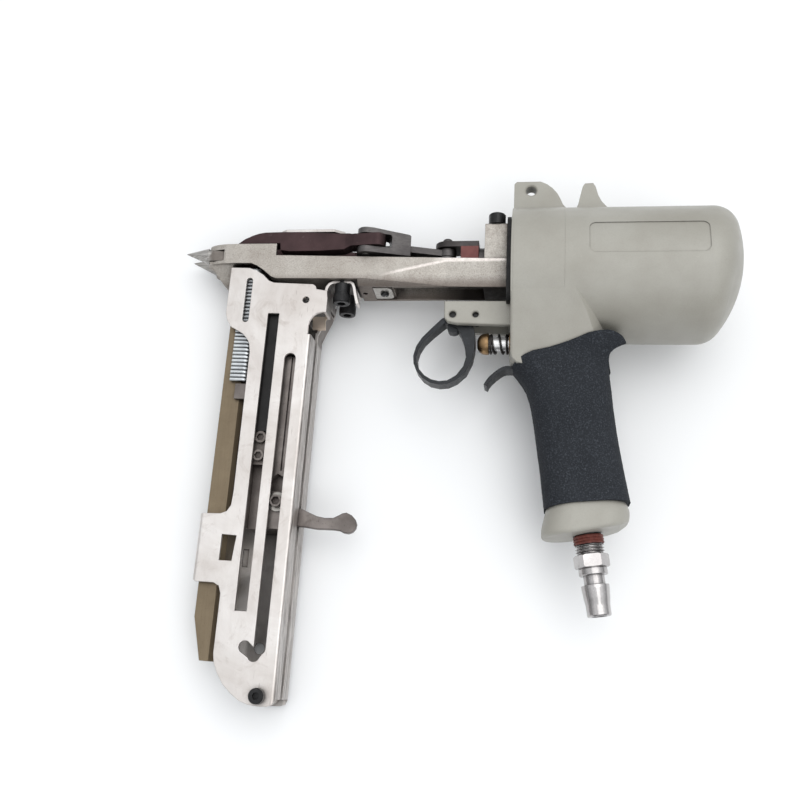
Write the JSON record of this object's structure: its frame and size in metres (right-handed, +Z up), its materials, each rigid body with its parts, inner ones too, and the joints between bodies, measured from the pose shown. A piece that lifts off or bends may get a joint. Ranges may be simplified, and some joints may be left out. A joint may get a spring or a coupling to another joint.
{
  "type": "pneumatic hog ring tool",
  "caption": "Pneumatic hog ring plier with a pistol grip, trigger valve, lever-driven jaws and a hanging strip magazine with a sprung pusher, lying on its side.",
  "frame": {"origin": "centre of the bounding box's bottom face, on the table the tool lies on", "axes": "+X towards the rear of the barrel, +Y towards the hanging lug, +Z up from the table; the tool leans about 7 degrees nose down as it lies on its side"},
  "size_m": [0.2782, 0.2618, 0.0781],
  "materials": {
    "body_paint": "satin grey paint on cast aluminium",
    "nose_steel": "sandblasted cast steel",
    "jaw_steel": "dark tempered steel with bright ground beaks",
    "link_steel": "machined steel",
    "clevis_steel": "dark oiled steel",
    "bright_steel": "ground steel",
    "black_screw": "black oxide",
    "sheet_steel": "satin nickel-plated sheet",
    "rail_steel": "drawn steel, straw coloured",
    "ring_wire": "galvanised wire",
    "trigger_black": "black oxide, worn satin",
    "grip_rubber": "moulded, fine grain",
    "seal_rubber": "smooth",
    "plug_steel": "nickel plated",
    "sealant": "dried paste",
    "bronze": "sintered bronze, satin",
    "brass": "turned",
    "alloy": "turned",
    "spring_steel": "drawn spring wire",
    "feed_strip": "blued spring strip",
    "handle_steel": "pressed steel, satin"
  },
  "bodies": {
    "housing": {"body_casting": "body_paint", "cylinder_sleeve": "bright_steel", "cylinder_head": "alloy", "head_seal": "seal_rubber", "front_gasket": "seal_rubber", "nose_frame": "nose_steel", "nose_screws": "black_screw", "rod_bush": "bronze", "rod_seal": "seal_rubber", "jaw_pins": "bright_steel", "lever_plate": "sheet_steel", "lever_plate_screws": "black_screw", "grip_sleeve": "grip_rubber", "air_plug": "plug_steel", "thread_sealant": "sealant", "valve_bush": "brass", "valve_seals": "seal_rubber", "trigger_pin": "black_screw", "trigger_stop_pin": "black_screw", "finger_rest": "trigger_black", "magazine_front": "sheet_steel", "magazine_back": "sheet_steel", "ring_rail": "rail_steel", "hog_rings": "ring_wire", "magazine_bracket": "sheet_steel", "bracket_screws": "black_screw", "bracket_spacers": "black_screw", "end_screw": "black_screw", "end_spacer": "bright_steel", "end_nut": "black_screw", "underside_tab": "sheet_steel", "tab_screw": "black_screw", "spring_cradle": "sheet_steel", "feed_spring_pin": "bright_steel", "return_spring": "spring_steel", "valve_spring": "spring_steel", "feed_spring": "feed_strip"},
    "trigger": {"trigger": "trigger_black"},
    "valve": {"valve_stem": "bright_steel", "valve_button": "bronze"},
    "drive": {"piston": "alloy", "piston_seal": "seal_rubber", "piston_rod": "bright_steel", "rod_nut": "bright_steel", "rod_clevis": "clevis_steel", "clevis_pin": "link_steel"},
    "link_left": {"link_left": "link_steel", "link_pin_left": "bright_steel"},
    "link_right": {"link_right": "link_steel", "link_pin_right": "bright_steel"},
    "jaw_left": {"jaw_left": "jaw_steel"},
    "jaw_right": {"jaw_right": "jaw_steel"},
    "pusher": {"pusher_carriage": "handle_steel", "pusher_handle": "handle_steel", "pusher_screws": "link_steel", "pusher_shoe": "handle_steel", "pusher_washer": "bright_steel"}
  },
  "joints": [
    {"name": "trigger_pull", "type": "hinge", "parent": "housing", "child": "trigger", "pos_m": [0.00066, 0.05729, 0.02945], "axis": [-0.1225, -0.0182, 0.9923], "range_deg": [0, 12], "stiffness_Nm_per_rad": 0.4, "springref_deg": -8.59},
    {"name": "valve_press", "type": "slide", "parent": "housing", "child": "valve", "axis": [0.9925, -0.0022, 0.1225], "range_m": [0, 0.0025], "deforming": ["valve_spring"]},
    {"name": "piston_stroke", "type": "slide", "parent": "housing", "child": "drive", "axis": [-0.9925, 0.0022, -0.1225], "range_m": [0, 0.00945], "stiffness_N_per_m": 1200, "springref_m": -0.012, "deforming": ["return_spring"]},
    {"name": "link_left_swing", "type": "hinge", "parent": "drive", "child": "link_left", "pos_m": [-0.0039, 0.09, 0.02948], "axis": [0, 0.9998, 0.0183], "range_deg": [0, 21.4]},
    {"name": "link_right_swing", "type": "hinge", "parent": "drive", "child": "link_right", "pos_m": [-0.0039, 0.09, 0.02948], "axis": [0, -0.9998, -0.0183], "range_deg": [0, 21.4]},
    {"name": "jaw_left_close", "type": "hinge", "parent": "housing", "child": "jaw_left", "pos_m": [-0.11566, 0.08953, 0.02223], "axis": [0, -0.9998, -0.0183], "range_deg": [0, 11.1]},
    {"name": "jaw_right_close", "type": "hinge", "parent": "housing", "child": "jaw_right", "pos_m": [-0.11407, 0.08976, 0.00933], "axis": [0, 0.9998, 0.0183], "range_deg": [0, 11.1]},
    {"name": "pusher_slide", "type": "slide", "parent": "housing", "child": "pusher", "axis": [-0.0182, -0.9996, -0.0206], "range_m": [0, 0.066], "stiffness_N_per_m": 25, "springref_m": -0.2, "deforming": ["feed_spring"]}
  ],
  "couplings": [
    {"joint": "valve_press", "follows": "trigger_pull", "m_per_rad": 0.011459},
    {"joint": "link_left_swing", "follows": "piston_stroke", "rad_per_m": 39.339},
    {"joint": "link_right_swing", "follows": "piston_stroke", "rad_per_m": 39.339},
    {"joint": "jaw_left_close", "follows": "piston_stroke", "rad_per_m": 20.316},
    {"joint": "jaw_right_close", "follows": "piston_stroke", "rad_per_m": 20.316}
  ]
}
